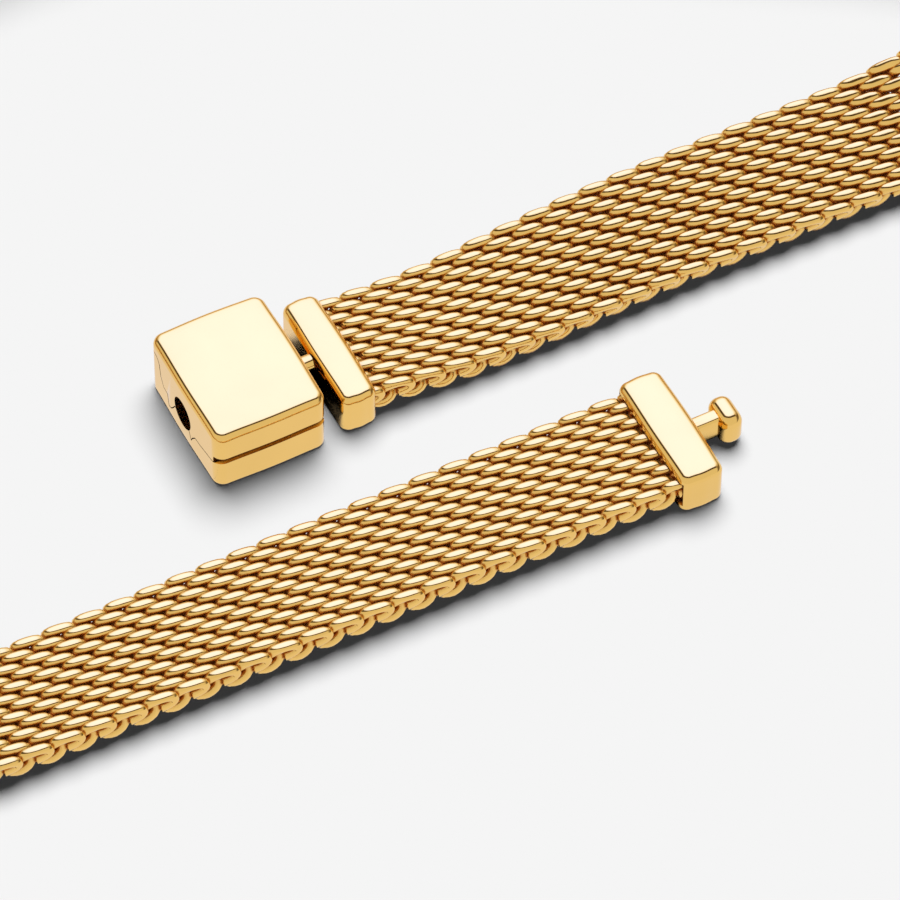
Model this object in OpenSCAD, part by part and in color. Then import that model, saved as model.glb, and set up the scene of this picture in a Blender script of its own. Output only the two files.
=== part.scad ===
// A woven metal mesh bracelet, lying open. The clasp and the catch pin lie flat beside each other,
// and the band between them turns onto its edge and takes a wide loop round, as a mesh band does.
// X runs along the two flat ends, Z is up, and the origin is under the middle of the clasp.

/* [Clasp box] */
// Length of the clasp box along the band
clasp_len = 6.05; // [5:0.05:8]
// Width of the clasp box across the band
clasp_w = 7.45; // [7.2:0.05:10]
// Height of the closed clasp box
clasp_h = 3.78; // [3.6:0.02:5]
// Radius of the box's upright corners
clasp_corner_r = 0.6; // [0.4:0.1:1.2]
// Radius of the box's long and short edges
clasp_edge_r = 0.35; // [0.15:0.05:0.6]
// Thickness of the two end walls that the pin's neck passes through
clasp_wall = 0.8; // [0.5:0.1:1.1]
// Height of the bore's axis above the underside
bore_z = 1.75; // [1.7:0.05:1.85]
// Gap between the lid and the base along their parting line
part_gap = 0.06; // [0.04:0.01:0.1]
// Height of the parting line at the near long side
part_z = 1.8; // [1.6:0.05:2]
// Height of the nail groove under the lid's near edge
groove_h = 0.3; // [0.15:0.01:0.35]
// Depth of the nail groove
groove_d = 0.45; // [0.2:0.05:0.6]
// Thickness of the base under the chamber for the heads
clasp_floor = 0.5; // [0.4:0.02:0.56]

/* [Hinge] */
// Radius of the hinge pin
hinge_pin_r = 0.25; // [0.2:0.01:0.3]
// Length of the hinge pin
hinge_pin_len = 4.4; // [4:0.1:4.8]
// Height of the hinge pin's axis
hinge_z = 2.4; // [2.2:0.05:2.6]
// Radius of the ears and of the lid's knuckle round the pin
ear_r = 0.55; // [0.45:0.01:0.6]
// Length of the lid's knuckle along the pin
knuckle_len = 2.8; // [2:0.1:3.4]
// Running gap between the ears, the knuckle and the lid
hinge_gap = 0.07; // [0.05:0.01:0.1]
// Radial clearance of the pin in its holes
pin_fit = 0.02; // [0.015:0.005:0.04]

/* [Catch pin] */
// Width of the flat neck across the band
neck_w = 0.85; // [0.7:0.05:0.9]
// Height of the neck
neck_h = 1.45; // [1.3:0.05:1.5]
// Gap between the neck's corners and the bore
neck_fit = 0.05; // [0.04:0.01:0.12]
// Length of the catch pin's neck that shows
neck_len = 1.25; // [1:0.05:1.6]
// Height of the neck that stays in the clasp
held_neck_h = 0.85; // [0.7:0.05:0.9]
// Height of the catch pin's axis above the underside of its cap
pin_z = 1.05; // [1:0.05:1.3]
// Length of the head along the band
head_len = 1.25; // [1.1:0.05:1.5]
// Width of the head across the band
head_w = 2; // [1.8:0.05:2.2]
// Height of the head
head_h = 1.75; // [1.5:0.05:1.8]
// Radius of the head's upright corners
head_corner_r = 0.55; // [0.2:0.05:0.6]
// Radius of the head's top and bottom edges
head_edge_r = 0.38; // [0.2:0.02:0.5]
// Gap round the head in its chamber
head_gap = 0.12; // [0.08:0.01:0.2]

/* [End caps] */
// Width of the two caps across the band
cap_w = 7; // [6.7:0.05:7.2]
// Height of the caps
cap_h = 2.38; // [2.3:0.02:2.6]
// Length of the cap beside the clasp
clasp_cap_len = 1.95; // [1.6:0.05:2.5]
// Length of the cap that carries the catch pin
pin_cap_len = 2.35; // [1.8:0.05:2.8]
// Radius of the caps' upright corners
cap_corner_r = 0.3; // [0.2:0.05:0.5]
// Radius of the caps' other edges
cap_edge_r = 0.28; // [0.1:0.02:0.32]
// Gap between the clasp and the cap beside it
cap_gap = 0.95; // [0.8:0.05:1.6]
// Thickness of the caps' closed end
cap_end_wall = 0.5; // [0.4:0.05:0.8]

/* [Band] */
// Width of the woven band
band_w = 6.5; // [5.8:0.1:6.6]
// Thickness of the woven band
band_t = 1.5; // [1.2:0.05:1.55]
// Gap round the band in the caps
band_gap = 0.07; // [0.05:0.01:0.1]

/* [Lie of the loop] */
// Distance between the middles of the two flat ends
strand_gap = 11.85; // [10:0.05:14]
// Place along X of the catch pin's cap, at its mouth
pin_cap_x = 16.45; // [12:0.05:20]
// Straight stretch beyond the clasp, measured from the origin
upper_reach = 36; // [34:0.5:42]
// Straight stretch before the pin's cap, measured back from the origin
lower_reach = 18.5; // [16:0.5:24]
// Angle of the first turn, beyond the clasp's strand
turn_1 = 148; // [142:1:154]
// Angle of the second turn, at the back
turn_2 = 92; // [84:1:98]
// Length of band in the first turn
turn_1_len = 29; // [27:0.5:34]
// Length of band in the second turn
turn_2_len = 64; // [50:1:68]
// Length of band in the third turn
turn_3_len = 24; // [22:0.5:28]
// Length of band over which it turns from flat onto its edge
twist_len = 18; // [15:0.5:24]
// Straight length before the turn at which the twist begins
twist_lead = 3; // [1:0.5:6]
// Length of band over which it sinks from the clasp's cap to the surface
sink_len = 9; // [5:0.5:14]
// Length of band over which it sinks from the pin's cap to the surface
pin_sink_len = 80; // [40:5:90]
// How many degrees the band leans on its near edge after the clasp's cap
lean = 16; // [0:1:20]
// Length of band over which the lean grows
lean_len = 18; // [14:0.5:24]
// How far the band bows towards the near side after the clasp's cap
bow = 0.23; // [0:0.01:0.3]
// Length of band over which it bows out
bow_len = 9; // [8:0.5:12]
// Length of band over which it comes back
bow_back_len = 14; // [10:0.5:18]

/* [Hidden] */

gold = [0.86, 0.66, 0.28];
arc_fn = 48;
overlap = 0.2;
far = 20;

// The bore's radius holds the neck's corners with their gap
bore_r = norm([neck_w, neck_h])/2 + neck_fit;
half_w = clasp_w/2;
hinge_y = half_w - ear_r;
pocket_r = ear_r + hinge_gap;
chamber_len = clasp_len - 2*clasp_wall;
chamber_w = head_w + 4*head_gap;
chamber_top = bore_z + head_h/2 + head_gap;

// Caps: the closed end of each cap faces its neck, and the band enters at the other end
clasp_cap_x = clasp_len/2 + cap_gap;
cap_mid_z = cap_h/2;
inner_neck_len = cap_gap + clasp_wall + head_gap;
band_start_x = clasp_cap_x + cap_end_wall + band_gap;
band_end_x = pin_cap_x + pin_cap_len - cap_end_wall - band_gap;

// The hill beside the bore ends along a circle round the hinge, so that the lid's tooth swings past it
hill_z = bore_z - 0.52*bore_r;
tooth_z = [bore_z - 0.79*bore_r, bore_z - 1.07*bore_r, bore_z - 1.27*bore_r];
hill_r = norm([hinge_y - 0.975*bore_r, hinge_z - hill_z]);

// The parting line across the clasp, from the near side over the bore to the hinge's ear
near_line = [[-0.4*clasp_w, bore_z - 0.21*bore_r], [-0.258*clasp_w, bore_z - 0.45*bore_r],
    [-0.183*clasp_w, bore_z - 0.5*bore_r], [-0.145*clasp_w, bore_z - 0.88*bore_r],
    [-0.122*clasp_w, bore_z - 1.27*bore_r], [-0.74*bore_r, bore_z - 0.6*bore_r]];
far_line = concat(
    [[0.8*bore_r, hill_z]],
    [for (z = concat([hill_z], tooth_z)) [hinge_y - sqrt(pow(hill_r, 2) - pow(hinge_z - z, 2)), z]],
    [[0.215*clasp_w, bore_z - 1.37*bore_r], [0.235*clasp_w, bore_z - 0.54*bore_r],
     [0.297*clasp_w, bore_z - 0.47*bore_r], [hinge_y - ear_r - 0.12, bore_z + 0.07*bore_r]]
);
parting = concat([[-half_w - overlap, part_z]], near_line, far_line);

// A line from the near side to the far side, moved square to itself by a gap
function left_of(from, to) = let (d = (to - from)/norm(to - from)) [-d[1], d[0]];
function moved(line, gap) = [
    for (i = [0:len(line) - 1])
        let (before = left_of(line[max(i, 1) - 1], line[max(i, 1)]),
             after = i == len(line) - 1 ? before : left_of(line[i], line[i + 1]))
        line[i] + gap*(before + after)/(1 + before*after)
];
function reversed(list) = [for (i = [len(list) - 1 : -1 : 0]) list[i]];
function arc(r, from, to, steps) = [
    for (i = [0:steps]) let (a = from + (to - from)*i/steps) [hinge_y + r*cos(a), hinge_z + r*sin(a)]
];

// A rectangle in its middle with round corners
module rounded(a, b, r) {
    square([a - 2*r, b], center = true);
    square([a, b - 2*r], center = true);
    for (x = [-1, 1], y = [-1, 1])
        translate([x*(a/2 - r), y*(b/2 - r)])
            circle(r = r, $fn = arc_fn);
}

// A block standing on Z = 0 whose outline is rounded from above, from the end and from the side
module soft_block(a, b, h, corner_r, edge_r) {
    intersection() {
        linear_extrude(h)
            rounded(a, b, corner_r);
        translate([0, 0, h/2])
            rotate([90, 0, 0])
                linear_extrude(2*b, center = true)
                    rounded(a, h, edge_r);
        translate([0, 0, h/2])
            rotate([90, 0, 90])
                linear_extrude(2*a, center = true)
                    rounded(b, h, edge_r);
    }
}

// A bar along X from a profile in Y and Z
module bar(length) {
    rotate([90, 0, 90])
        linear_extrude(length, center = true)
            children();
}

module clasp_form() {
    soft_block(clasp_len, clasp_w, clasp_h, clasp_corner_r, clasp_edge_r);
}

// The bore through both end walls, and the chamber between them for the two heads
module catch_space() {
    translate([0, 0, bore_z])
        rotate([0, 90, 0])
            cylinder(r = bore_r, h = 2*clasp_len, center = true, $fn = arc_fn);
    translate([-chamber_len/2, -chamber_w/2, clasp_floor])
        cube([chamber_len, chamber_w, chamber_top - clasp_floor]);
}

// What the lid leaves free beyond a circle round the hinge, so that it swings past a round-edged
// bar of this half width and height
module swing_space(length, half_bar_w, half_bar_h, edge_r, gap) {
    bar(length)
        difference() {
            square([hinge_y, bore_z + half_bar_h]);
            translate([hinge_y, hinge_z])
                circle(r = norm([hinge_y - half_bar_w + edge_r, hinge_z - bore_z - half_bar_h + edge_r])
                    - edge_r - gap, $fn = arc_fn);
        }
}

module hinge_hole(length, clearance) {
    translate([0, hinge_y, hinge_z])
        rotate([0, 90, 0])
            cylinder(r = hinge_pin_r + clearance, h = length, center = true, $fn = arc_fn);
}

// The lower half, with a hinge ear at each end of its far side
module clasp_base() {
    color(gold)
        difference() {
            intersection() {
                clasp_form();
                bar(2*clasp_len)
                    polygon(concat(
                        [[-half_w - overlap, 0], [half_w, 0]],
                        arc(ear_r, 0, 180, 10),
                        reversed(parting)
                    ));
            }
            catch_space();
            hinge_hole(hinge_pin_len + 2*pin_fit, pin_fit);
            translate([-knuckle_len/2 - hinge_gap, hinge_y - pocket_r, hinge_z - pocket_r])
                cube([knuckle_len + 2*hinge_gap, far, far]);
        }
}

// The upper half, with its knuckle between the ears and a nail groove under its near edge
module clasp_lid() {
    color(gold)
        difference() {
            union() {
                intersection() {
                    clasp_form();
                    bar(2*clasp_len)
                        polygon(concat(
                            moved(parting, part_gap),
                            reversed(arc(pocket_r, 90, 180, 6)),
                            [[half_w, hinge_z + pocket_r], [half_w, clasp_h], [-half_w - overlap, clasp_h]]
                        ));
                }
                bar(knuckle_len)
                    polygon(concat(
                        arc(ear_r, 180, 360, 10),
                        [[half_w, hinge_z + pocket_r + overlap],
                         [hinge_y - pocket_r - overlap, hinge_z + pocket_r + overlap],
                         [hinge_y - pocket_r - overlap, hinge_z]]
                    ));
            }
            catch_space();
            swing_space(chamber_len, head_w/2, head_h/2, head_edge_r, head_gap);
            swing_space(2*clasp_len, neck_w/2, neck_h/2, 0, neck_fit);
            hinge_hole(2*clasp_len, pin_fit);
            translate([-clasp_len, -half_w - far, 0])
                cube([2*clasp_len, far + groove_d, part_z + groove_h]);
        }
}

module hinge_pin() {
    color(gold)
        hinge_hole(hinge_pin_len, 0);
}

module head() {
    translate([0, 0, -head_h/2])
        soft_block(head_len, head_w, head_h, head_corner_r, head_edge_r);
}

// A cap centred on X = 0 with its mouth towards +X: the pocket holds the band's end
module cap(length) {
    difference() {
        soft_block(length, cap_w, cap_h, cap_corner_r, cap_edge_r);
        translate([cap_end_wall, 0, cap_mid_z])
            cube([length, band_w + 2*band_gap, band_t + 2*band_gap], center = true);
    }
}

// A neck from X = 0 towards -X with the head at its end
module neck_and_head(length, height) {
    translate([overlap/2 - length/2, 0, 0])
        cube([length + overlap, neck_w, height], center = true);
    translate([-length - head_len/2 + overlap/2, 0, 0])
        head();
}

module clasp_end_cap() {
    color(gold)
        union() {
            translate([clasp_cap_x + clasp_cap_len/2, 0, 0])
                cap(clasp_cap_len);
            translate([clasp_cap_x, 0, bore_z])
                neck_and_head(inner_neck_len, held_neck_h);
        }
}

module pin_end_cap() {
    color(gold)
        translate([pin_cap_x + pin_cap_len, -strand_gap, 0])
            rotate([0, 0, 180])
                union() {
                    translate([pin_cap_len/2, 0, 0])
                        cap(pin_cap_len);
                    translate([0, 0, pin_z])
                        neck_and_head(neck_len, neck_h);
                }
}

// The loop's plan. Each turn changes the heading smoothly, and the two straight stretches between
// the turns get the lengths that close the route onto the pin's cap
turn_3 = 360 - turn_1 - turn_2;
step_len = 1.7;

function ease(t) = let (u = min(1, max(0, t))) u*u*u*(10 - 15*u + 6*u*u);
function steps_in(length) = max(2, ceil(length/step_len));
function total(list) = [for (i = 0, p = [0, 0]; i <= len(list); p = p + (i < len(list) ? list[i] : [0, 0]),
    i = i + 1) p][len(list)];
function unit(a) = [cos(a), sin(a)];
function turn_moves(start, angle, length) = let (n = steps_in(length))
    [for (i = [0:n - 1]) unit(start + angle*ease((i + 0.5)/n))*length/n];
function turn_headings(start, angle, length) = let (n = steps_in(length))
    [for (i = [1:n]) start + angle*ease(i/n)];
function line_moves(heading, length) = let (n = steps_in(length))
    [for (i = [1:n]) unit(heading)*length/n];
function line_headings(heading, length) = [for (i = [1:steps_in(length)]) heading];
function running(start, list) = [for (i = 0, p = start; i <= len(list);
    p = p + (i < len(list) ? list[i] : 0*start), i = i + 1) p];

back_heading = turn_1;
side_heading = turn_1 + turn_2;
moves_1 = turn_moves(0, turn_1, turn_1_len);
moves_2 = turn_moves(back_heading, turn_2, turn_2_len);
moves_3 = turn_moves(side_heading, turn_3, turn_3_len);
still_to_go = [-lower_reach - upper_reach, -strand_gap] - total(moves_1) - total(moves_2) - total(moves_3);
spread = cross(unit(back_heading), unit(side_heading));
back_len = cross(still_to_go, unit(side_heading))/spread;
side_len = cross(unit(back_heading), still_to_go)/spread;
upper_len = upper_reach - band_start_x;
lower_len = band_end_x + lower_reach;

moves = concat(line_moves(0, upper_len), moves_1, line_moves(back_heading, back_len), moves_2,
    line_moves(side_heading, side_len), moves_3, line_moves(0, lower_len));
headings = concat([0], line_headings(0, upper_len), turn_headings(0, turn_1, turn_1_len),
    line_headings(back_heading, back_len), turn_headings(back_heading, turn_2, turn_2_len),
    line_headings(side_heading, side_len), turn_headings(side_heading, turn_3, turn_3_len),
    line_headings(0, lower_len));
places = running([band_start_x, 0], moves);
walked = running(0, [for (m = moves) norm(m)]);
band_len = walked[len(walked) - 1];

// How far the band has rolled onto its edge, and how high its middle lies, at a length along it
twist_in = upper_len - twist_lead;
twist_out = band_len - lower_len + twist_lead - twist_len;
function roll(s) = lean*ease(s/lean_len) + (90 - lean)*ease((s - twist_in)/twist_len)
    - 90*ease((s - twist_out)/twist_len);
function lift(s) = (cap_mid_z - band_t/2)*(2 - ease(s/sink_len) - ease((band_len - s)/pin_sink_len));
function aside(s) = bow*(ease((s - bow_len)/bow_back_len) - ease(s/bow_len));
function middle_z(s) = band_w/2*sin(roll(s)) + band_t/2*cos(roll(s)) + lift(s);

// The band's section as shares of its half width and half thickness
ring_points = 12;
section = [for (i = [0:ring_points - 1]) let (a = 360*(i + 0.5)/ring_points)
    [sign(cos(a))*pow(abs(cos(a)), 0.35), sign(sin(a))*pow(abs(sin(a)), 0.6)]];
section_reach = [max([for (p = section) p[0]]), max([for (p = section) p[1]])];

function ring(i) =
    let (s = walked[i], h = headings[i], r = roll(s), left = [-sin(h), cos(h), 0])
    let (across = left*cos(r) + [0, 0, sin(r)], out = [0, 0, cos(r)] - left*sin(r))
    [for (p = section) [places[i][0], places[i][1], middle_z(s)] + left*aside(s)
        + across*p[0]/section_reach[0]*band_w/2 + out*p[1]/section_reach[1]*band_t/2];

module mesh_band() {
    rings = len(places);
    points = [for (i = [0:rings - 1]) each ring(i)];
    sides = [for (i = [0:rings - 2], j = [0:ring_points - 1])
        let (a = i*ring_points + j, b = i*ring_points + (j + 1)%ring_points)
        each [[a, a + ring_points, b], [b, a + ring_points, b + ring_points]]];
    ends = [[for (j = [0:ring_points - 1]) j],
        [for (j = [ring_points - 1:-1:0]) (rings - 1)*ring_points + j]];
    color(gold)
        polyhedron(points, concat(sides, ends));
}

mesh_band();
clasp_base();
clasp_lid();
hinge_pin();
clasp_end_cap();
pin_end_cap();
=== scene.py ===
"""A woven gold mesh bracelet lying open on a pale floor.

The band is made of flattened wire coils that hook into each other. The clasp box, its lid, the two
end caps and the catch pin are polished blocks with soft edges. Angles are in degrees. Lengths are in
millimetres until a mesh is written, apart from the floor's size and the camera's clipping, which are
in metres.
"""

import math

import bpy
import numpy as np
from mathutils import Matrix, Vector


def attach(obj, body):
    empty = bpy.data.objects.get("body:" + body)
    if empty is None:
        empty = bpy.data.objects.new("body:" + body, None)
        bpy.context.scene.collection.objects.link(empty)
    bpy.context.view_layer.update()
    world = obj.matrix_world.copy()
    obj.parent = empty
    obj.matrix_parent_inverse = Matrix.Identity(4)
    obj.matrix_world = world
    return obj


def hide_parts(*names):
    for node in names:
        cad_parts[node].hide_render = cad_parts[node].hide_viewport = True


MM = 0.001
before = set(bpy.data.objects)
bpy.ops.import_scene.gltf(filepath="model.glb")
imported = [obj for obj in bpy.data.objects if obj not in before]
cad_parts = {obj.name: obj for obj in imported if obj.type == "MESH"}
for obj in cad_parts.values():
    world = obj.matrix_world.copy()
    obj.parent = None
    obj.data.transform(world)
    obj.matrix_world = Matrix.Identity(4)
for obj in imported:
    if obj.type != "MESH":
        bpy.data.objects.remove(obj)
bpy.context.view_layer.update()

# The camera, fitted to the photograph's frame of 900 by 900
CAMERA_AZIMUTH = 27.71
CAMERA_ELEVATION = 52.72
CAMERA_ROLL = 0.59
CAMERA_DISTANCE = 382.98
CAMERA_TARGET = (8.176, -6.736, 0.0)
CAMERA_LENS = 312.78
CAMERA_SENSOR = 36.0
CAMERA_CLIP = (0.01, 20.0)

# The clasp box
CLASP_LEN = 6.05
CLASP_W = 7.45
CLASP_H = 3.78
CLASP_CORNER_R = 0.6
CLASP_EDGE_R = 0.38
CLASP_FOOT_R = 0.18
CLASP_CROWN = 0.14
CLASP_BOW = 0.05
CLASP_WALL = 0.8
BORE_Z = 1.75
PART_GAP = 0.06
PART_Z = 1.8
GROOVE_H = 0.3
GROOVE_D = 0.45
CLASP_FLOOR = 0.5

# Its hinge
HINGE_PIN_R = 0.25
HINGE_PIN_LEN = 4.4
HINGE_Z = 2.4
EAR_R = 0.55
KNUCKLE_LEN = 2.8
HINGE_GAP = 0.07
PIN_FIT = 0.02
EAR_STEPS = 16
POCKET_STEPS = 10
KNUCKLE_STEPS = 20

# Its parting line, as corners from the near side to the hinge. Y is a share of the clasp's width,
# or of the bore's radius beside the bore. Z is a share of the bore's radius, up from its middle. The
# hill has only heights, because its Y follows a circle round the hinge
PARTING_NEAR = ((-0.4, -0.21), (-0.258, -0.45), (-0.183, -0.5), (-0.145, -0.88), (-0.122, -1.27))
PARTING_BORE = ((-0.74, -0.6), (0.8, -0.52))
PARTING_HILL_Y = 0.975
PARTING_HILL_Z = (-0.52, -0.79, -1.07, -1.27)
PARTING_FAR = ((0.215, -1.37), (0.235, -0.54), (0.297, -0.47))
PARTING_EAR_GAP = 0.12
PARTING_EAR_Z = 0.07

# The catch pin
NECK_W = 0.85
NECK_H = 1.45
NECK_FIT = 0.05
NECK_LEN = 1.25
HELD_NECK_H = 0.85
PIN_Z = 1.05
HEAD_LEN = 1.25
HEAD_W = 2.0
HEAD_H = 1.75
HEAD_CORNER_R = 0.56
HEAD_EDGE_R = 0.38
HEAD_DOME_R = 0.52
HEAD_CROWN = 0.22
HEAD_GAP = 0.12
NECK_SQUARENESS = 4.5
HELD_NECK_SQUARENESS = 2.2
NECK_SIDES = 48

# The end caps
CAP_W = 7.0
CAP_H = 2.38
CLASP_CAP_LEN = 1.95
PIN_CAP_LEN = 2.35
CAP_CORNER_R = 0.5
CAP_EDGE_R = 0.4
CAP_FOOT_R = 0.18
CAP_CROWN = 0.18
CAP_BOW = 0.05
CAP_GAP = 0.95
CAP_END_WALL = 0.5

# The band and its lie
BAND_W = 6.5
BAND_T = 1.5
BAND_GAP = 0.07
STRAND_GAP = 11.85
PIN_CAP_X = 16.45
UPPER_REACH = 36.0
LOWER_REACH = 18.5
TURNS = (148.0, 92.0, 120.0)
TURN_LENGTHS = (29.0, 64.0, 24.0)
TWIST_LEN = 18.0
TWIST_LEAD = 3.0
SINK_LEN = 9.0
PIN_SINK_LEN = 80.0
LEAN = 16.0
LEAN_LEN = 18.0
BOW = 0.23
BOW_LEN = 9.0
BOW_BACK_LEN = 14.0
ROUTE_STEP = 0.05
TRAVEL_STEPS = 2000

# The weave: flattened coils side by side, each a half pitch further along than the last
WIRE_R = 0.27
COIL_PITCH = 0.82
COIL_REACH = 0.7
COLUMN_PITCH = 1.066
COLUMNS = 6
COIL_SQUARENESS = 2.5
TOP_STRAIGHTNESS = 0.28
HOOK_MID = 0.27
HOOK_TURN = 0.5
TAIL_TURN = 0.12
TAIL_TUCK = 1.4
EDGE_SOFTNESS = 0.03
FACE_LAP = 0.05
FACE_SPRING = 0.35
SIDE_LAP = 0.02
SIDE_SPRING = 0.3
STEPS_A_TURN = 20
WIRE_SIDES = 11
WIRE_CROWDING = 0.45
WIRE_END_STEP = 0.12
WIRE_END_SHARE = 0.9
WIRE_TIP_SHARE = 0.02
BAND_PARTS = 5

# How the polished blocks are built up, cut and finished
CORNER_STEPS = 10
SIDE_STEPS = 10
FILLET_STEPS = 8
UNDERSIDE_RINGS = (0.35, 0.7, 1)
TOP_RINGS = (1, 0.85, 0.7, 0.5, 0.3)
ROD_SIDES = 64
JOIN_LAP = 0.2
CUT_MARGIN = 0.2
CUT_REACH = 1.0
SWING_STEPS = 20
SWING_END = 0.02
SWING_DEPTH = 0.5
CUT_EDGE_R = 0.035
CUT_EDGE_ANGLE = 35
SHARP_ANGLE = 40
FACE_WEIGHT = 80

BORE_R = math.hypot(NECK_W, NECK_H)/2 + NECK_FIT
HALF_W = CLASP_W/2
HINGE_Y = HALF_W - EAR_R
POCKET_R = EAR_R + HINGE_GAP
CHAMBER_LEN = CLASP_LEN - 2*CLASP_WALL
CHAMBER_W = HEAD_W + 4*HEAD_GAP
CHAMBER_TOP = BORE_Z + HEAD_H/2 + HEAD_GAP
CLASP_CAP_X = CLASP_LEN/2 + CAP_GAP
BAND_START_X = CLASP_CAP_X + CAP_END_WALL + BAND_GAP
BAND_END_X = PIN_CAP_X + PIN_CAP_LEN - CAP_END_WALL - BAND_GAP
FAR = 20.0


def place_camera():
    """The view direction goes round the object by the azimuth and down by the elevation."""
    az, el, roll = (math.radians(a) for a in (CAMERA_AZIMUTH, CAMERA_ELEVATION, CAMERA_ROLL))
    forward = np.array([math.sin(az)*math.cos(el), math.cos(az)*math.cos(el), -math.sin(el)])
    right = np.array([math.cos(az), -math.sin(az), 0.0])
    up = np.cross(right, forward)
    turned_right = right*math.cos(roll) + up*math.sin(roll)
    turned_up = up*math.cos(roll) - right*math.sin(roll)
    data = bpy.data.cameras.new("camera")
    data.sensor_width = CAMERA_SENSOR
    data.lens = CAMERA_LENS
    data.clip_start, data.clip_end = CAMERA_CLIP
    camera = bpy.data.objects.new("camera", data)
    matrix = np.eye(4)
    matrix[:3, 0] = turned_right
    matrix[:3, 1] = turned_up
    matrix[:3, 2] = -forward
    matrix[:3, 3] = (np.array(CAMERA_TARGET) - CAMERA_DISTANCE*forward)*MM
    camera.matrix_world = Matrix(matrix.tolist())
    bpy.context.scene.collection.objects.link(camera)
    bpy.context.scene.camera = camera


# Light and floor
FLOOR_COLOUR = 0.86
FLOOR_SIZE = 30.0
# What the metal sees of the floor is a painted reflection: an even glowing tone instead of the lit
# floor. The next four values set the painted shade that darkens it near the pieces
FLOOR_PAINTED_REFLECTION = (0.86, 0.84, 0.92)
FLOOR_CREVICE = 3.0
FLOOR_CLOSED = 0.32
FLOOR_OPENED = 0.47
FLOOR_SAMPLES = 24
KEY_DIRECTION = (0.213, 0.33, 0.92)
KEY_ANGLE = 46.0
AMBIENT = 0.02
BACKDROP = 0.913

# What the metal reflects: a bright panel up behind, which ends in a crisp dark border towards the
# front and the left, and fades away softly towards the back and the right. Each stop is an angle in
# degrees from the panel's middle, then red, green and blue
PANEL = (0.30, 0.57, 0.765)
PANEL_FRONT = (-0.551, -0.551, 0.626)
PANEL_FRONT_FADE = (-0.1, 0.3)
CRISP_SIDE = (
    (0.0, (1.27, 1.60, 4.35)),
    (26.0, (1.24, 1.54, 4.10)),
    (37.0, (1.15, 1.36, 2.90)),
    (40.0, (0.10, 0.07, 0.05)),
    (55.0, (0.08, 0.06, 0.05)),
    (61.0, (0.80, 0.78, 0.80)),
    (180.0, (0.80, 0.78, 0.80)),
)
SOFT_SIDE = (
    (0.0, (1.27, 1.60, 4.35)),
    (16.0, (1.24, 1.54, 4.00)),
    (30.0, (1.08, 1.22, 2.10)),
    (44.0, (0.66, 0.58, 0.50)),
    (60.0, (0.20, 0.15, 0.10)),
    (90.0, (0.14, 0.10, 0.07)),
    (180.0, (0.14, 0.10, 0.07)),
)
PANEL_STRENGTH = 5.0

# The gold's finish
GOLD = (0.95, 0.62, 0.17, 1)
CLOUD_DETAIL = 3
CLOUD_SPAN = (0.3, 0.7)
CLOUD_TONE = 0.95
HAIRLINE_DETAIL = 4
HAIRLINE_STRETCH = 0.06
HAIRLINE_HEIGHT = 0.02
# Where the painted shade is full, the gold is only this metallic, so the shade colour catches some
# diffuse light; the occlusion behind it takes this many samples
HOLLOW_METAL = 0.75
HOLLOW_SAMPLES = 8


def link(tree, out, into):
    """Joins an output of one node to an input of another."""
    tree.links.new(out, into)


def ring_colours(tree, share, stops):
    """A colour ramp over the angle from the panel's middle, as a share of half a turn."""
    ramp = tree.nodes.new("ShaderNodeValToRGB")
    ramp.color_ramp.interpolation = "EASE"
    while len(ramp.color_ramp.elements) > 1:
        ramp.color_ramp.elements.remove(ramp.color_ramp.elements[-1])
    for i, (degrees, colour) in enumerate(stops):
        stop = ramp.color_ramp.elements[0] if i == 0 else ramp.color_ramp.elements.new(degrees/180)
        stop.position = degrees/180
        stop.color = (*[c/PANEL_STRENGTH for c in colour], 1.0)
    link(tree, share, ramp.inputs[0])
    return ramp.outputs["Color"]


def toward(tree, place, direction):
    """How far a direction of view points along another."""
    dot = tree.nodes.new("ShaderNodeVectorMath")
    dot.operation = "DOT_PRODUCT"
    dot.inputs[1].default_value = np.array(direction)/np.linalg.norm(direction)
    link(tree, place, dot.inputs[0])
    return dot.outputs["Value"]


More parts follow.
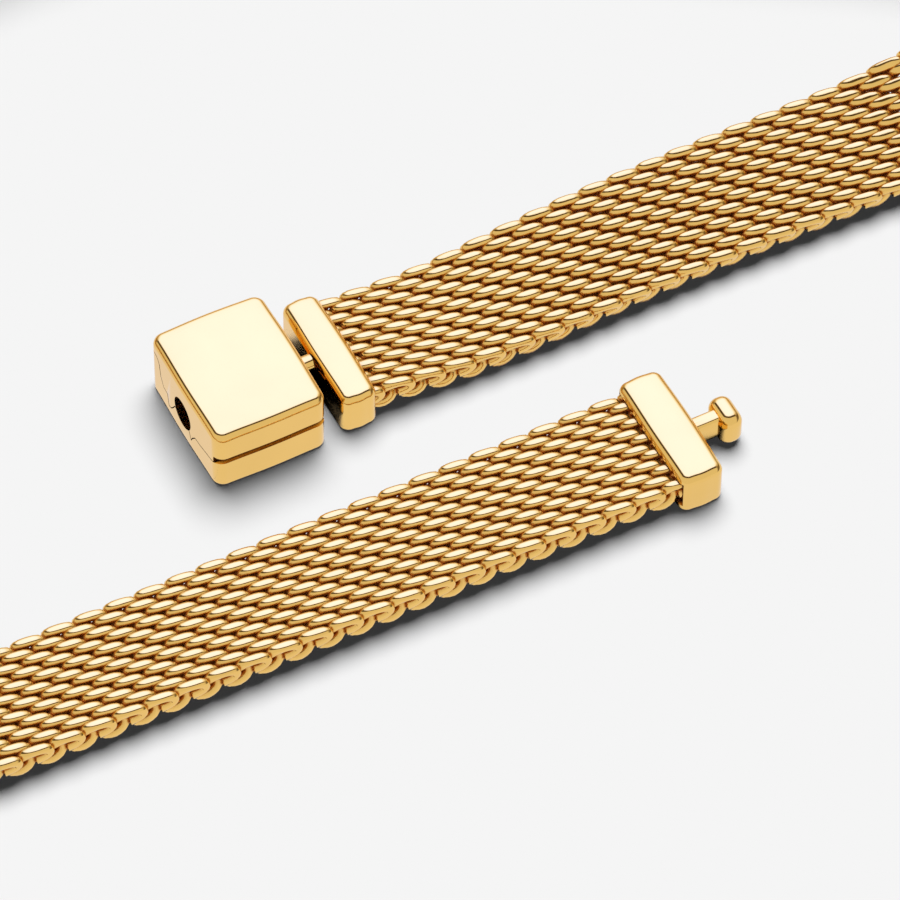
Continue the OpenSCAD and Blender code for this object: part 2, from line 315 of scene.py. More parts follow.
def studio():
    """The world: the panel and its borders for reflections, a low even light for the floor, and a
    pale backdrop for the camera."""
    world = bpy.data.worlds.new("studio")
    bpy.context.scene.world = world
    world.use_nodes = True
    world.cycles.sampling_method = "NONE"
    tree = world.node_tree
    tree.nodes.clear()
    place = tree.nodes.new("ShaderNodeTexCoord").outputs["Generated"]
    angle = tree.nodes.new("ShaderNodeMath")
    angle.operation = "ARCCOSINE"
    share = tree.nodes.new("ShaderNodeMath")
    share.operation = "DIVIDE"
    share.inputs[1].default_value = math.pi
    link(tree, toward(tree, place, PANEL), angle.inputs[0])
    link(tree, angle.outputs[0], share.inputs[0])
    front = tree.nodes.new("ShaderNodeMapRange")
    front.interpolation_type = "SMOOTHSTEP"
    front.inputs["From Min"].default_value = PANEL_FRONT_FADE[0]
    front.inputs["From Max"].default_value = PANEL_FRONT_FADE[1]
    link(tree, toward(tree, place, PANEL_FRONT), front.inputs["Value"])
    sides = tree.nodes.new("ShaderNodeMix")
    sides.data_type = "RGBA"
    link(tree, front.outputs["Result"], sides.inputs["Factor"])
    link(tree, ring_colours(tree, share.outputs[0], SOFT_SIDE), sides.inputs["A"])
    link(tree, ring_colours(tree, share.outputs[0], CRISP_SIDE), sides.inputs["B"])

    path = tree.nodes.new("ShaderNodeLightPath")
    mirrored = tree.nodes.new("ShaderNodeBackground")
    mirrored.inputs["Strength"].default_value = PANEL_STRENGTH
    ambient = tree.nodes.new("ShaderNodeBackground")
    ambient.inputs["Color"].default_value = (1, 1, 1, 1)
    ambient.inputs["Strength"].default_value = AMBIENT
    backdrop = tree.nodes.new("ShaderNodeBackground")
    backdrop.inputs["Color"].default_value = (1, 1, 1, 1)
    backdrop.inputs["Strength"].default_value = BACKDROP
    by_gloss = tree.nodes.new("ShaderNodeMixShader")
    by_camera = tree.nodes.new("ShaderNodeMixShader")
    out = tree.nodes.new("ShaderNodeOutputWorld")
    link(tree, sides.outputs["Result"], mirrored.inputs["Color"])
    link(tree, path.outputs["Is Glossy Ray"], by_gloss.inputs[0])
    link(tree, ambient.outputs[0], by_gloss.inputs[1])
    link(tree, mirrored.outputs[0], by_gloss.inputs[2])
    link(tree, path.outputs["Is Camera Ray"], by_camera.inputs[0])
    link(tree, by_gloss.outputs[0], by_camera.inputs[1])
    link(tree, backdrop.outputs[0], by_camera.inputs[2])
    link(tree, by_camera.outputs[0], out.inputs[0])


def light_scene():
    """One wide sun from behind on the right lights the floor evenly and gives the soft shadows. The
    metal doesn't reflect it: it reflects the studio, the other pieces and the floor's painted
    reflection tone."""
    scene = bpy.context.scene
    scene.view_settings.view_transform = "Standard"
    direction = np.array(KEY_DIRECTION)/np.linalg.norm(KEY_DIRECTION)
    lamp = bpy.data.lights.new("key", "SUN")
    lamp.angle = math.radians(KEY_ANGLE)
    lamp.energy = math.pi*(BACKDROP/FLOOR_COLOUR - AMBIENT)/direction[2]
    key = bpy.data.objects.new("key", lamp)
    key.rotation_mode = "QUATERNION"
    key.rotation_quaternion = Vector(direction).to_track_quat("Z", "Y")
    key.visible_glossy = False
    scene.collection.objects.link(key)
    studio()


def lay_floor():
    """A plain pale floor. In reflections it shows a painted reflection instead of its lit face: an
    even glowing tone, with painted shade that darkens it in the crevices under and between the
    pieces."""
    half = FLOOR_SIZE/2
    mesh = bpy.data.meshes.new("floor")
    corners = [(-half, -half, 0), (half, -half, 0), (half, half, 0), (-half, half, 0)]
    mesh.from_pydata(corners, [], [(0, 1, 2, 3)])
    material = bpy.data.materials.new("floor")
    material.use_nodes = True
    tree = material.node_tree
    tree.nodes.clear()
    matt = tree.nodes.new("ShaderNodeBsdfDiffuse")
    matt.inputs["Color"].default_value = (FLOOR_COLOUR, FLOOR_COLOUR, FLOOR_COLOUR, 1)
    # Painted reflection: for glossy rays the floor glows with an even tone, and open_share paints
    # shade into it where the pieces are close
    even = tree.nodes.new("ShaderNodeEmission")
    even.inputs["Color"].default_value = (*FLOOR_PAINTED_REFLECTION, 1)
    share = open_share(tree, FLOOR_CREVICE, FLOOR_CLOSED, FLOOR_OPENED, FLOOR_SAMPLES)
    link(tree, share, even.inputs["Strength"])
    path = tree.nodes.new("ShaderNodeLightPath")
    by_gloss = tree.nodes.new("ShaderNodeMixShader")
    out = tree.nodes.new("ShaderNodeOutputMaterial")
    link(tree, path.outputs["Is Glossy Ray"], by_gloss.inputs[0])
    link(tree, matt.outputs[0], by_gloss.inputs[1])
    link(tree, even.outputs[0], by_gloss.inputs[2])
    link(tree, by_gloss.outputs[0], out.inputs[0])
    material.cycles.emission_sampling = "NONE"
    mesh.materials.append(material)
    floor = bpy.data.objects.new("floor", mesh)
    bpy.context.scene.collection.objects.link(floor)


# Finishes
def gold_group():
    """Colour, roughness and normal of polished gold: soft clouds of tone, fine hairlines along X,
    and painted shade: a dark red-brown, rougher gold where the openness is low."""
    group = bpy.data.node_groups.new("gold_surface", "ShaderNodeTree")
    for name in ("Gold", "Painted shade gold"):
        group.interface.new_socket(name, in_out="INPUT", socket_type="NodeSocketColor")
    for name in ("Openness", "Cloud scale", "Hairline scale", "Roughness", "Roughness spread",
                 "Hairline depth", "Hollow roughness"):
        group.interface.new_socket(name, in_out="INPUT", socket_type="NodeSocketFloat")
    for name, kind in (("Color", "NodeSocketColor"), ("Roughness", "NodeSocketFloat"),
                       ("Normal", "NodeSocketVector")):
        group.interface.new_socket(name, in_out="OUTPUT", socket_type=kind)
    into = group.nodes.new("NodeGroupInput")
    out = group.nodes.new("NodeGroupOutput")
    place = group.nodes.new("ShaderNodeTexCoord")
    clouds = group.nodes.new("ShaderNodeTexNoise")
    clouds.inputs["Detail"].default_value = CLOUD_DETAIL
    link(group, place.outputs["Object"], clouds.inputs["Vector"])
    link(group, into.outputs["Cloud scale"], clouds.inputs["Scale"])
    stretch = group.nodes.new("ShaderNodeMapping")
    stretch.inputs["Scale"].default_value = (HAIRLINE_STRETCH, 1.0, 1.0)
    link(group, place.outputs["Object"], stretch.inputs["Vector"])
    hairlines = group.nodes.new("ShaderNodeTexNoise")
    hairlines.inputs["Detail"].default_value = HAIRLINE_DETAIL
    link(group, stretch.outputs[0], hairlines.inputs["Vector"])
    link(group, into.outputs["Hairline scale"], hairlines.inputs["Scale"])

    # Painted shade: low openness mixes the colour towards the dark red-brown shade gold
    tone = group.nodes.new("ShaderNodeMix")
    tone.data_type = "RGBA"
    link(group, into.outputs["Openness"], tone.inputs["Factor"])
    link(group, into.outputs["Painted shade gold"], tone.inputs["A"])
    link(group, into.outputs["Gold"], tone.inputs["B"])
    shade = group.nodes.new("ShaderNodeMapRange")
    shade.inputs["From Min"].default_value = CLOUD_SPAN[0]
    shade.inputs["From Max"].default_value = CLOUD_SPAN[1]
    shade.inputs["To Min"].default_value = CLOUD_TONE
    link(group, clouds.outputs["Fac"], shade.inputs["Value"])
    shaded = group.nodes.new("ShaderNodeVectorMath")
    shaded.operation = "SCALE"
    link(group, tone.outputs["Result"], shaded.inputs[0])
    link(group, shade.outputs[0], shaded.inputs["Scale"])
    link(group, shaded.outputs[0], out.inputs["Color"])

    centred = group.nodes.new("ShaderNodeMath")
    centred.operation = "SUBTRACT"
    centred.inputs[1].default_value = 0.5
    link(group, hairlines.outputs["Fac"], centred.inputs[0])
    spread = group.nodes.new("ShaderNodeMath")
    spread.operation = "MULTIPLY_ADD"
    link(group, centred.outputs[0], spread.inputs[0])
    link(group, into.outputs["Roughness spread"], spread.inputs[1])
    hollow = group.nodes.new("ShaderNodeMix")
    link(group, into.outputs["Openness"], hollow.inputs["Factor"])
    link(group, into.outputs["Hollow roughness"], hollow.inputs["A"])
    link(group, into.outputs["Roughness"], hollow.inputs["B"])
    link(group, hollow.outputs["Result"], spread.inputs[2])
    link(group, spread.outputs[0], out.inputs["Roughness"])

    bump = group.nodes.new("ShaderNodeBump")
    bump.inputs["Distance"].default_value = HAIRLINE_HEIGHT*MM
    link(group, into.outputs["Hairline depth"], bump.inputs["Strength"])
    link(group, hairlines.outputs["Fac"], bump.inputs["Height"])
    link(group, bump.outputs[0], out.inputs["Normal"])
    return group


def open_share(tree, distance, closed, opened, samples):
    """0 where less than the closed share of the surroundings is free of surfaces within a distance
    in millimetres, rising smoothly to 1 at the opened share."""
    nearby = tree.nodes.new("ShaderNodeAmbientOcclusion")
    nearby.samples = samples
    nearby.inputs["Distance"].default_value = distance*MM
    share = tree.nodes.new("ShaderNodeMapRange")
    share.interpolation_type = "SMOOTHSTEP"
    share.inputs["From Min"].default_value = closed
    share.inputs["From Max"].default_value = opened
    link(tree, nearby.outputs["AO"], share.inputs["Value"])
    return share.outputs["Result"]


def gold_material(name, group, values, crevice, closed, opened):
    """Metal with the shared gold surface and painted shade: it turns dark in slots about as wide as
    the crevice, in millimetres: where the surroundings leave less than the closed share of the sky
    open, and not at all above the opened share. The shaded hollows are also less of a mirror, so
    their painted shade colour catches some diffuse light and shows brown rather than black."""
    material = bpy.data.materials.new(name)
    material.use_nodes = True
    tree = material.node_tree
    shader = tree.nodes["Principled BSDF"]
    surface = tree.nodes.new("ShaderNodeGroup")
    surface.node_tree = group
    for socket, value in values.items():
        surface.inputs[socket].default_value = value
    # The painted shade mask: how open the surroundings are within the crevice distance, from ambient
    # occlusion
    share = open_share(tree, crevice, closed, opened, HOLLOW_SAMPLES)
    metal = tree.nodes.new("ShaderNodeMapRange")
    metal.inputs["To Min"].default_value = HOLLOW_METAL
    link(tree, share, metal.inputs["Value"])
    link(tree, metal.outputs["Result"], shader.inputs["Metallic"])
    link(tree, share, surface.inputs["Openness"])
    link(tree, surface.outputs["Color"], shader.inputs["Base Color"])
    link(tree, surface.outputs["Roughness"], shader.inputs["Roughness"])
    link(tree, surface.outputs["Normal"], shader.inputs["Normal"])
    return material


gold_surface = gold_group()
POLISHED = gold_material("polished_gold", gold_surface, {
    "Gold": GOLD,
    # Painted shade colour for the polished pieces' crevices and slots
    "Painted shade gold": (0.20, 0.06, 0.01, 1),
    "Cloud scale": 260.0,
    "Hairline scale": 9000.0,
    "Roughness": 0.10,
    "Roughness spread": 0.05,
    "Hairline depth": 0.04,
    "Hollow roughness": 0.3,
}, crevice=0.6, closed=0.26, opened=0.50)
WOVEN = gold_material("gold_mesh", gold_surface, {
    "Gold": GOLD,
    # Painted shade colour for the hollows between the wires, standing in for occlusion and light
    # bounced between them
    "Painted shade gold": (0.52, 0.13, 0.006, 1),
    "Cloud scale": 900.0,
    "Hairline scale": 12000.0,
    "Roughness": 0.08,
    "Roughness spread": 0.05,
    "Hairline depth": 0.05,
    "Hollow roughness": 0.45,
}, crevice=0.55, closed=0.12, opened=0.92)


# Meshes
def mesh_object(name, points, faces, material):
    """A smooth mesh from an array of points in millimetres and a list or array of faces."""
    mesh = bpy.data.meshes.new(name)
    points = np.asarray(points, float).reshape(-1, 3)*MM
    if isinstance(faces, np.ndarray):
        mesh.vertices.add(len(points))
        mesh.vertices.foreach_set("co", points.astype(np.float32).ravel())
        mesh.loops.add(faces.size)
        mesh.loops.foreach_set("vertex_index", faces.astype(np.int32).ravel())
        mesh.polygons.add(len(faces))
        starts = np.arange(0, faces.size, faces.shape[1], dtype=np.int32)
        mesh.polygons.foreach_set("loop_start", starts)
        mesh.update(calc_edges=True)
    else:
        mesh.from_pydata(points.tolist(), [], faces)
    mesh.polygons.foreach_set("use_smooth", np.full(len(mesh.polygons), True))
    if material:
        mesh.materials.append(material)
    mesh.validate()
    made = bpy.data.objects.new(name, mesh)
    bpy.context.scene.collection.objects.link(made)
    return made


def grid_faces(rows, columns):
    """Quads of a grid whose rows close on themselves."""
    row, column = np.meshgrid(np.arange(rows - 1), np.arange(columns), indexing="ij")
    start, after = row*columns, (column + 1) % columns
    corners = [start + column, start + after, start + columns + after, start + columns + column]
    return np.stack(corners, axis=-1).reshape(-1, 4)


# The band's route
def ease(u):
    """Rises from 0 to 1 as u cubed times (10 - 15 u + 6 u squared), and is flat outside 0 to 1."""
    u = np.clip(u, 0, 1)
    return u**3*(10 - 15*u + 6*u*u)


def turn_travel(start, angle, length):
    """How far a turn carries the route in plan: its length times the mean of the cosine and of the
    sine of its heading, which rises from the start by the angle times ease."""
    u = (np.arange(TRAVEL_STEPS) + 0.5)/TRAVEL_STEPS
    heading = np.radians(start + angle*ease(u))
    return np.array([np.cos(heading).mean(), np.sin(heading).mean()])*length


def unit(degrees):
    """The direction of a heading in plan."""
    return np.array([math.cos(math.radians(degrees)), math.sin(math.radians(degrees))])


class Route:
    """The middle line of the band, in steps along it: place in plan, heading, roll and height. The
    two straight stretches between the turns have the lengths that bring it to the pin's cap."""

    def __init__(self):
        upper = UPPER_REACH - BAND_START_X
        lower = BAND_END_X + LOWER_REACH
        back, side = TURNS[0], TURNS[0] + TURNS[1]
        to_go = np.array([-LOWER_REACH - UPPER_REACH, -STRAND_GAP])
        for start, angle, length in zip((0, back, side), TURNS, TURN_LENGTHS):
            to_go = to_go - turn_travel(start, angle, length)
        back_len, side_len = np.linalg.solve(np.column_stack([unit(back), unit(side)]), to_go)
        starts = np.cumsum([upper, TURN_LENGTHS[0] + back_len, TURN_LENGTHS[1] + side_len])
        self.length = starts[2] + TURN_LENGTHS[2] + lower
        self.s = np.linspace(0, self.length, int(self.length/ROUTE_STEP) + 1)
        middle = (self.s[1:] + self.s[:-1])/2
        self.heading = self.turned(self.s, starts)
        steps = np.radians(self.turned(middle, starts))
        move = np.diff(self.s)
        self.x = BAND_START_X + np.concatenate([[0], np.cumsum(np.cos(steps)*move)])
        self.y = np.concatenate([[0], np.cumsum(np.sin(steps)*move)])
        self.twist_in = upper - TWIST_LEAD
        self.twist_out = self.length - lower + TWIST_LEAD - TWIST_LEN

    def turned(self, s, starts):
        """The heading in degrees: each turn adds its angle times ease along its length."""
        return sum(angle*ease((s - start)/length)
                   for angle, start, length in zip(TURNS, starts, TURN_LENGTHS))

    def place(self, s, v, w):
        """World points from lengths along the band, across it and out of its face. The band leans,
        rolls onto its edge and lies flat again, sinks from the caps' middle to the floor, and bows
        aside next to the clasp, each by an amount times ease along a length."""
        heading = np.radians(np.interp(s, self.s, self.heading))
        roll = np.radians(LEAN*ease(s/LEAN_LEN) + (90 - LEAN)*ease((s - self.twist_in)/TWIST_LEN)
                          - 90*ease((s - self.twist_out)/TWIST_LEN))
        sinking = ease(s/SINK_LEN) + ease((self.length - s)/PIN_SINK_LEN)
        middle_z = BAND_W/2*np.sin(roll) + BAND_T/2*np.cos(roll) + (CAP_H - BAND_T)/2*(2 - sinking)
        aside = BOW*(ease((s - BOW_LEN)/BOW_BACK_LEN) - ease(s/BOW_LEN))
        sideways = aside + v*np.cos(roll) - w*np.sin(roll)
        upwards = v*np.sin(roll) + w*np.cos(roll)
        return np.stack([np.interp(s, self.s, self.x) - np.sin(heading)*sideways,
                         np.interp(s, self.s, self.y) + np.cos(heading)*sideways,
                         middle_z + upwards], axis=-1)


# The weave
def soft_floor(value, limit, softness):
    """A value held smoothly above a limit: the limit plus softness times the logarithm of one plus
    the exponential of how far the value is above the limit, over the softness."""
    return limit + softness*np.logaddexp(0, (value - limit)/softness)


def coil_path():
    """One coil's middle line, as lengths along the band, across it and out of its face. Seen along
    the coil it is a squared ellipse: the cosine and the sine of the angle, each over the root of
    the sum of their powers, times the reach along and the rise. Each turn moves it one column over,
    as the angle plus a share of the sine of twice the angle, so slower on its flat stretches and
    faster round its ends. The first turn starts with a narrow hook that lies along the band's edge,
    and the last one turns back in behind its neighbour's hook."""
    first = -HOOK_TURN*math.pi
    last = 2*math.pi*COLUMNS - TAIL_TURN*math.pi
    count = int(round((last - first)/(2*math.pi)*STEPS_A_TURN)) + 1
    angle = np.linspace(first, last, count)
    c, s = np.cos(angle), np.sin(angle)
    reach = (np.abs(c)**COIL_SQUARENESS + np.abs(s)**COIL_SQUARENESS)**(-1/COIL_SQUARENESS)
    rise = BAND_T/2 - WIRE_R + FACE_LAP*(1/FACE_SPRING - 1)
    along = COIL_REACH*c*reach
    out = rise*s*reach
    hooked = angle < math.pi/2
    out[hooked] = HOOK_MID + (rise - HOOK_MID)*(s*reach)[hooked]
    outmost = (COLUMNS - 0.5)*COLUMN_PITCH/2
    over = COLUMN_PITCH/(2*math.pi)*(angle - math.pi/2 + TOP_STRAIGHTNESS*np.sin(2*angle)) - outmost
    edge = BAND_W/2 - WIRE_R + SIDE_LAP*(1/SIDE_SPRING - 1)
    over = soft_floor(over, -edge, EDGE_SOFTNESS)
    over = over - (1 + TAIL_TUCK)*np.maximum(over - outmost, 0)
    return np.stack([along, over, out], axis=-1)


def tube(path, radius, sides):
    """Rings of a round wire along a path, with flat ends. Each ring is a circle square to the path,
    and its points crowd on the side that looks away from the path's middle line: their angle is an
    even one less a share of its sine."""
    first = path[0] + WIRE_END_STEP*(path[1] - path[0])
    last = path[-1] + WIRE_END_STEP*(path[-2] - path[-1])
    path = np.concatenate([path[:1], [first], path[1:-1], [last], path[-1:]])
    tangent = np.gradient(path, axis=0)
    tangent /= np.linalg.norm(tangent, axis=1, keepdims=True)
    outward = path*np.array([1.0, 0.0, 1.0])
    outward -= (outward*tangent).sum(1, keepdims=True)*tangent
    outward /= np.linalg.norm(outward, axis=1, keepdims=True)
    beside = np.cross(tangent, outward)
    around = 2*math.pi*np.arange(sides)/sides
    around = around - WIRE_CROWDING*np.sin(around)
    c, s = np.cos(around)[:, None], np.sin(around)[:, None]
    ring = (c*outward[:, None] + s*beside[:, None])*radius
    ring[[0, -1]] *= WIRE_END_SHARE
    first_tip = path[:1, None] + WIRE_TIP_SHARE*ring[:1]
    last_tip = path[-1:, None] + WIRE_TIP_SHARE*ring[-1:]
    return np.concatenate([first_tip, path[:, None] + ring, last_tip])


def pressed(value, limit, lap, spring):
    """What reaches past the limit less the lap is pressed back to a share of its height, on both
    sides of zero."""
    start = limit - lap
    beyond = np.maximum(np.abs(value) - start, 0)
    return value - np.sign(value)*beyond*(1 - spring)


def lapped(points):
    """The band's faces and long sides are ground and polished, which leaves flats on the wire."""
    x, v, w = np.moveaxis(points, -1, 0)
    return np.stack([x, pressed(v, BAND_W/2, SIDE_LAP, SIDE_SPRING),
                     pressed(w, BAND_T/2, FACE_LAP, FACE_SPRING)], axis=-1)


def weave(route):
    """All coils as joined meshes. Every other coil is the same coil turned half round, which sets
    its columns half a pitch over and puts its hooked end on the far edge."""
    coil = lapped(tube(coil_path(), WIRE_R, WIRE_SIDES))
    turned = coil*np.array([-1.0, -1.0, 1.0])
    rings, sides = coil.shape[:2]
    margin = COIL_REACH + WIRE_R
    count = int((route.length - 2*margin)/COIL_PITCH) + 1
    stations = np.linspace(margin, route.length - margin, count)
    quads = grid_faces(rings, sides)
    for part, members in enumerate(np.array_split(np.arange(count), BAND_PARTS)):
        shapes = np.where((members % 2 == 0)[:, None, None, None], coil[None], turned[None])
        s = stations[members][:, None, None] + shapes[..., 0]
        points = route.place(s, shapes[..., 1], shapes[..., 2])
        offsets = np.arange(len(members))*rings*sides
        walls = (quads[None] + offsets[:, None, None]).reshape(-1, 4)
        made = mesh_object(f"woven_band_{part + 1}", points, walls, WOVEN)
        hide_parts("mesh_band")
        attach(made, "bracelet")
        made.visible_diffuse = False


# The polished blocks
def outline(a, b, corner_r, bow):
    """Round a rectangle with round corners: the points of its inner rectangle, and the direction
    outwards at each, so that a point at an inset is inner + outward * (corner_r - inset). The sides
    bow out by bow times (1 - u squared) squared, with u from -1 to 1 along the side."""
    inner, outward = [], []
    half = np.array([a/2 - corner_r, b/2 - corner_r])
    corners = [half*np.array(c) for c in ((1, 1), (-1, 1), (-1, -1), (1, -1))]
    for i, corner in enumerate(corners):
        turn = math.pi/2*(i + np.arange(CORNER_STEPS + 1)/CORNER_STEPS)
        inner.append(np.tile(corner, (CORNER_STEPS + 1, 1)))
        outward.append(np.stack([np.cos(turn), np.sin(turn)], axis=-1))
        share = (np.arange(1, SIDE_STEPS)/SIDE_STEPS)[:, None]
        facing = np.tile(outward[-1][-1], (SIDE_STEPS - 1, 1))
        inner.append(corner + (corners[(i + 1) % 4] - corner)*share
                     + facing*bow*(1 - (2*share - 1)**2)**2)
        outward.append(facing)
    return np.concatenate(inner), np.concatenate(outward)


def soft_block(name, a, b, h, corner_r, edge_r, foot_r, crown, bow=0.0):
    """A closed block standing on Z = 0. Its profile runs from the middle of the underside out to a
    quarter-round foot, up the side, round the upper edge and in to the middle of the top, and is
    carried round the outline. The top falls by half the crown times the cube of the way to each
    side, and by as much for the other side."""
    inner, outward = outline(a, b, corner_r, bow)
    quarter = math.pi/2*np.arange(FILLET_STEPS + 1)/FILLET_STEPS
    curve = np.stack([1 - np.sin(quarter), 1 - np.cos(quarter)])
    foot_in, foot_z = foot_r*curve
    edge_in, edge_z = edge_r*curve[:, ::-1]
    under, above = len(UNDERSIDE_RINGS), len(TOP_RINGS)
    scale = np.concatenate([UNDERSIDE_RINGS, np.ones(2*FILLET_STEPS + 2), TOP_RINGS])
    inset = np.concatenate([[corner_r]*under, foot_in, edge_in, [corner_r]*above])
    z = np.concatenate([[0]*under, foot_z, h - edge_z, [h]*above])
    points = np.zeros((len(z), len(inner), 3))
    points[..., :2] = (inner[None]*scale[:, None, None]
                       + outward[None]*(corner_r - inset)[:, None, None])
    fall = crown/2*(np.abs(points[..., 0]/(a/2))**3 + np.abs(points[..., 1]/(b/2))**3)
    points[..., 2] = z[:, None] - np.where(z[:, None] > h/2, fall, 0)
    columns = len(inner)
    faces = grid_faces(len(z), columns).tolist()
    flat = points.reshape(-1, 3)
    low, high = len(flat), len(flat) + 1
    flat = np.concatenate([flat, [[0, 0, 0], [0, 0, h]]])
    last = (len(z) - 1)*columns
    faces += [[(i + 1) % columns, i, low] for i in range(columns)]
    faces += [[last + i, last + (i + 1) % columns, high] for i in range(columns)]
    return mesh_object(name, flat, faces, None)


def bar(profile, length, middle_x=0.0):
    """A prism along X whose profile is a loop of points in Y and Z."""
    profile = np.asarray(profile, float)
    count = len(profile)
    points = np.zeros((2, count, 3))
    points[..., 1:] = profile
    points[0, :, 0] = middle_x - length/2
    points[1, :, 0] = middle_x + length/2
    y, z = profile.T
    turning = np.sum(y*np.roll(z, -1) - z*np.roll(y, -1))
    sides = grid_faces(2, count).tolist()
    faces = sides + [list(range(count))[::-1], list(range(count, 2*count))]
    if turning < 0:
        faces = [face[::-1] for face in faces]
    return mesh_object("bar", points, faces, None)


def box(low, high):
    """A plain box between two corners, used to cut with."""
    (x0, y0, z0), (x1, y1, z1) = low, high
    return bar([(y0, z0), (y1, z0), (y1, z1), (y0, z1)], x1 - x0, (x0 + x1)/2)


def rod(y, z, radius, length):
    """A round bar along X."""
    turn = 2*math.pi*np.arange(ROD_SIDES)/ROD_SIDES
    return bar(np.stack([y + radius*np.cos(turn), z + radius*np.sin(turn)], axis=-1), length)


def arc(radius, start, end, steps):
    """Points of Y and Z on a circle round the hinge, between two angles in degrees."""
    turn = np.radians(start + (end - start)*np.arange(steps + 1)/steps)
    points = np.stack([HINGE_Y + radius*np.cos(turn), HINGE_Z + radius*np.sin(turn)], axis=-1)
    return points.tolist()


def bake(piece):
    """Works the piece's modifiers into its mesh."""
    graph = bpy.context.evaluated_depsgraph_get()
    mesh = bpy.data.meshes.new_from_object(piece.evaluated_get(graph))
    piece.modifiers.clear()
    piece.data = mesh


def carve(piece, tool, how="DIFFERENCE"):
    """Cuts with a tool, keeps what they share or joins them, and removes the tool."""
    modifier = piece.modifiers.new("carve", "BOOLEAN")
    modifier.operation = how
    modifier.object = tool
    modifier.solver = "EXACT"
    bake(piece)
    bpy.data.objects.remove(tool)


def polish(piece, name, node, body):
    """Softens the cut edges, evens the shading and hands the piece its place in the frame. The gold
    casts no light of its own colour on the floor."""
    piece.name = name
    mesh = piece.data
    mesh.name = name
    mesh.materials.clear()
    mesh.materials.append(POLISHED)
    mesh.polygons.foreach_set("use_smooth", np.full(len(mesh.polygons), True))
    bevel = piece.modifiers.new("soft_edges", "BEVEL")
    bevel.width = CUT_EDGE_R*MM
    bevel.segments = 2
    bevel.limit_method = "ANGLE"
    bevel.angle_limit = math.radians(CUT_EDGE_ANGLE)
    bevel.use_clamp_overlap = True
    bake(piece)
    piece.data.set_sharp_from_angle(angle=math.radians(SHARP_ANGLE))
    weight = piece.modifiers.new("even_shading", "WEIGHTED_NORMAL")
    weight.keep_sharp = True
    weight.weight = FACE_WEIGHT
    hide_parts(node)
    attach(piece, body)
    piece.visible_diffuse = False


def parting():
    """The parting line across the end of the clasp, as Y and Z from the near side over the bore to
    the hinge. The hill beside the bore ends along a circle round the hinge."""
    hill_z = BORE_Z + PARTING_HILL_Z[0]*BORE_R
    hill_r = math.hypot(HINGE_Y - PARTING_HILL_Y*BORE_R, HINGE_Z - hill_z)
    corners = [(y*CLASP_W, z) for y, z in PARTING_NEAR]
    corners += [(y*BORE_R, z) for y, z in PARTING_BORE]
    corners += [(HINGE_Y - math.sqrt(hill_r**2 - (HINGE_Z - BORE_Z - z*BORE_R)**2), z)
                for z in PARTING_HILL_Z]
    corners += [(y*CLASP_W, z) for y, z in PARTING_FAR]
    corners += [(HINGE_Y - EAR_R - PARTING_EAR_GAP, PARTING_EAR_Z)]
    line = [(y, BORE_Z + z*BORE_R) for y, z in corners]
    return np.array([(-HALF_W - CUT_MARGIN, PART_Z)] + line)


def moved(line, gap):
    """A line moved square to itself, to its left."""
    along = np.diff(line, axis=0)
    left = np.stack([-along[:, 1], along[:, 0]], axis=-1)/np.hypot(*along.T)[:, None]
    before = np.concatenate([left[:1], left])
    after = np.concatenate([left, left[-1:]])
    return line + gap*(before + after)/(1 + (before*after).sum(1, keepdims=True))


def clasp_form():
    """The whole box, before it is parted."""
    return soft_block("clasp", CLASP_LEN, CLASP_W, CLASP_H + CLASP_CROWN/2, CLASP_CORNER_R,
                      CLASP_EDGE_R, CLASP_FOOT_R, CLASP_CROWN, CLASP_BOW)


def carve_catch_space(piece):
    """Cuts the bore, and the chamber where both heads sit."""
    carve(piece, rod(0, BORE_Z, BORE_R, 2*CLASP_LEN))
    half_len, half_w = CHAMBER_LEN/2, CHAMBER_W/2
    carve(piece, box((-half_len, -half_w, CLASP_FLOOR), (half_len, half_w, CHAMBER_TOP)))


def clasp_base():
    """The lower half of the box, up to the stepped parting line, with its two hinge ears."""
    base = clasp_form()
    far_y = HALF_W + CUT_REACH
    profile = [(-HALF_W - CUT_MARGIN, -CUT_REACH), (far_y, -CUT_REACH), (far_y, HINGE_Z)]
    profile += arc(EAR_R, 0, 180, EAR_STEPS) + parting()[::-1].tolist()
    carve(base, bar(profile, 2*CLASP_LEN), "INTERSECT")
    carve_catch_space(base)
    carve(base, rod(HINGE_Y, HINGE_Z, HINGE_PIN_R + PIN_FIT, HINGE_PIN_LEN + 2*PIN_FIT))
    half = KNUCKLE_LEN/2 + HINGE_GAP
    carve(base, box((-half, HINGE_Y - POCKET_R, HINGE_Z - POCKET_R), (half, FAR, FAR)))
    polish(base, "clasp_base_shell", "clasp_base", "bracelet")


def swing_cut(length, half_w, half_h, edge_r, gap):
    """What lies outside a circle round the hinge, so that the lid clears a bar as it swings. The
    circle passes the bar's upper far edge, which has a radius of its own, at the gap."""
    edge = math.hypot(HINGE_Y - half_w + edge_r, HINGE_Z - BORE_Z - half_h + edge_r)
    radius = edge - edge_r - gap
    top = BORE_Z + half_h
    turn = np.linspace(math.asin((top - HINGE_Z)/radius), -math.pi/2 + SWING_END, SWING_STEPS)
    curve = [(HINGE_Y - radius*math.cos(a), HINGE_Z + radius*math.sin(a)) for a in turn]
    return bar([(0, top)] + curve + [(curve[-1][0], -SWING_DEPTH), (0, -SWING_DEPTH)], length)


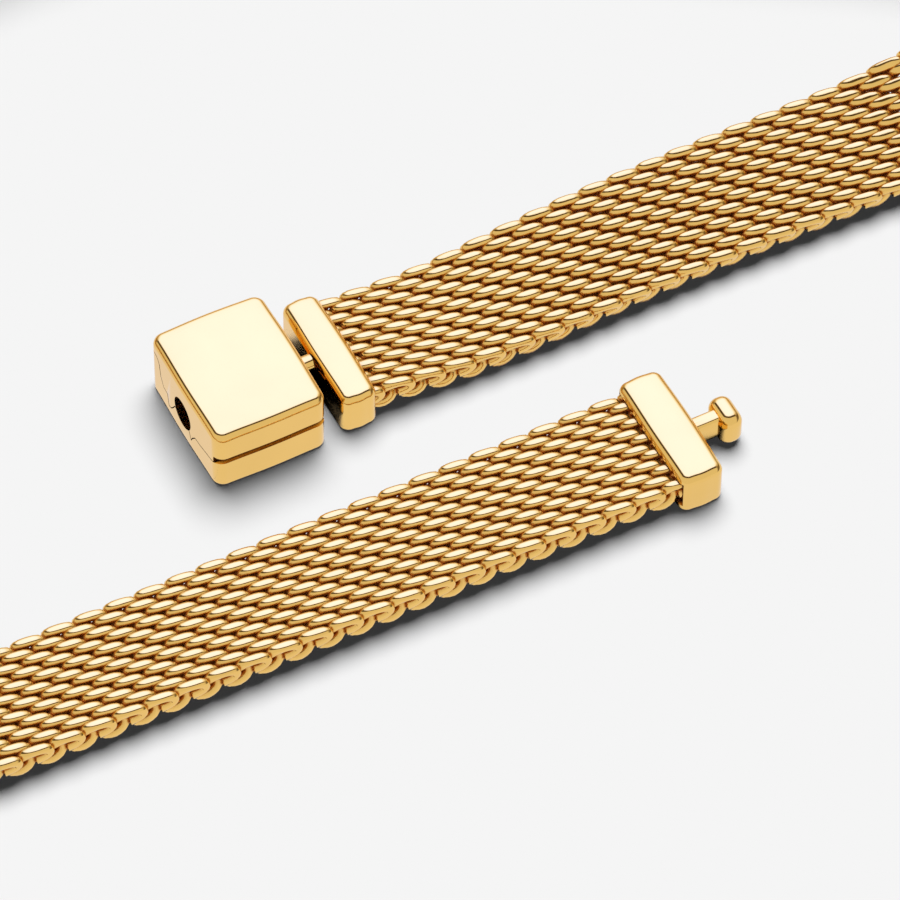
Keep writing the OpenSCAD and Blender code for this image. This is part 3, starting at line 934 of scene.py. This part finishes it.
def clasp_lid():
    """The upper half, with its knuckle between the ears and a nail groove under its near edge."""
    lid = clasp_form()
    far_y, top = HALF_W + CUT_REACH, CLASP_H + CUT_REACH
    profile = moved(parting(), PART_GAP).tolist() + arc(POCKET_R, 180, 90, POCKET_STEPS)
    profile += [(far_y, HINGE_Z + POCKET_R), (far_y, top), (-HALF_W - CUT_MARGIN, top)]
    carve(lid, bar(profile, 2*CLASP_LEN), "INTERSECT")
    inside = HINGE_Y - POCKET_R - JOIN_LAP
    inside_z = HINGE_Z + POCKET_R + JOIN_LAP
    knuckle = arc(EAR_R, 180, 360, KNUCKLE_STEPS)
    knuckle += [(HALF_W, inside_z), (inside, inside_z), (inside, HINGE_Z)]
    carve(lid, bar(knuckle, KNUCKLE_LEN), "UNION")
    carve_catch_space(lid)
    carve(lid, swing_cut(CHAMBER_LEN, HEAD_W/2, HEAD_H/2, HEAD_EDGE_R, HEAD_GAP))
    carve(lid, swing_cut(2*CLASP_LEN, NECK_W/2, NECK_H/2, 0, NECK_FIT))
    carve(lid, rod(HINGE_Y, HINGE_Z, HINGE_PIN_R + PIN_FIT, 2*CLASP_LEN))
    near_y = -HALF_W - CUT_REACH
    carve(lid, box((-CLASP_LEN, near_y, 0), (CLASP_LEN, -HALF_W + GROOVE_D, PART_Z + GROOVE_H)))
    polish(lid, "clasp_lid_shell", "clasp_lid", "lid")


def translation(x, y, z):
    """A move in millimetres."""
    return Matrix.Translation((x*MM, y*MM, z*MM))


def neck(length, h, z, squareness, base_x):
    """A bar from base_x towards -X, with a lap at both ends. Its section is a squared ellipse: the
    cosine and the sine of the angle, each over the root of the sum of their powers, times half the
    size."""
    turn = 2*math.pi*np.arange(NECK_SIDES)/NECK_SIDES
    c, s = np.cos(turn), np.sin(turn)
    reach = (np.abs(c)**squareness + np.abs(s)**squareness)**(-1/squareness)
    section = np.stack([NECK_W/2*c*reach, z + h/2*s*reach], axis=-1)
    return bar(section, length + 2*JOIN_LAP, base_x - length/2)


def end_cap(name, length, neck_len, neck_h, neck_z, squareness):
    """A cap with its band pocket, and the neck and head on its closed end, which looks to -X."""
    cap = soft_block(name, length, CAP_W, CAP_H + CAP_CROWN/2, CAP_CORNER_R, CAP_EDGE_R, CAP_FOOT_R,
                     CAP_CROWN, CAP_BOW)
    half_w, half_t = BAND_W/2 + BAND_GAP, BAND_T/2 + BAND_GAP
    floor_x = -length/2 + CAP_END_WALL
    carve(cap, box((floor_x, -half_w, CAP_H/2 - half_t), (length, half_w, CAP_H/2 + half_t)))
    carve(cap, neck(neck_len, neck_h, neck_z, squareness, -length/2), "UNION")
    head = soft_block("head", HEAD_LEN, HEAD_W, HEAD_H + HEAD_CROWN/2, HEAD_CORNER_R, HEAD_DOME_R,
                      HEAD_EDGE_R, HEAD_CROWN)
    head_x = -length/2 - neck_len - HEAD_LEN/2
    head.data.transform(translation(head_x, 0, neck_z - HEAD_H/2))
    carve(cap, head, "UNION")
    return cap


def end_caps():
    """The cap beside the clasp, its neck held in the clasp, and the one with the catch pin, turned
    half round on the other strand."""
    held_len = CAP_GAP + CLASP_WALL + HEAD_GAP
    cap = end_cap("clasp_cap", CLASP_CAP_LEN, held_len, HELD_NECK_H, BORE_Z, HELD_NECK_SQUARENESS)
    cap.data.transform(translation(CLASP_CAP_X + CLASP_CAP_LEN/2, 0, 0))
    polish(cap, "clasp_cap", "clasp_end_cap", "bracelet")
    cap = end_cap("pin_cap", PIN_CAP_LEN, NECK_LEN, NECK_H, PIN_Z, NECK_SQUARENESS)
    cap.data.transform(Matrix.Rotation(math.pi, 4, "Z"))
    cap.data.transform(translation(PIN_CAP_X + PIN_CAP_LEN/2, -STRAND_GAP, 0))
    polish(cap, "pin_cap", "pin_end_cap", "bracelet")


place_camera()
light_scene()
lay_floor()
weave(Route())
clasp_base()
clasp_lid()
end_caps()
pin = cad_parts["hinge_pin"]
pin.data.materials.clear()
pin.data.materials.append(POLISHED)
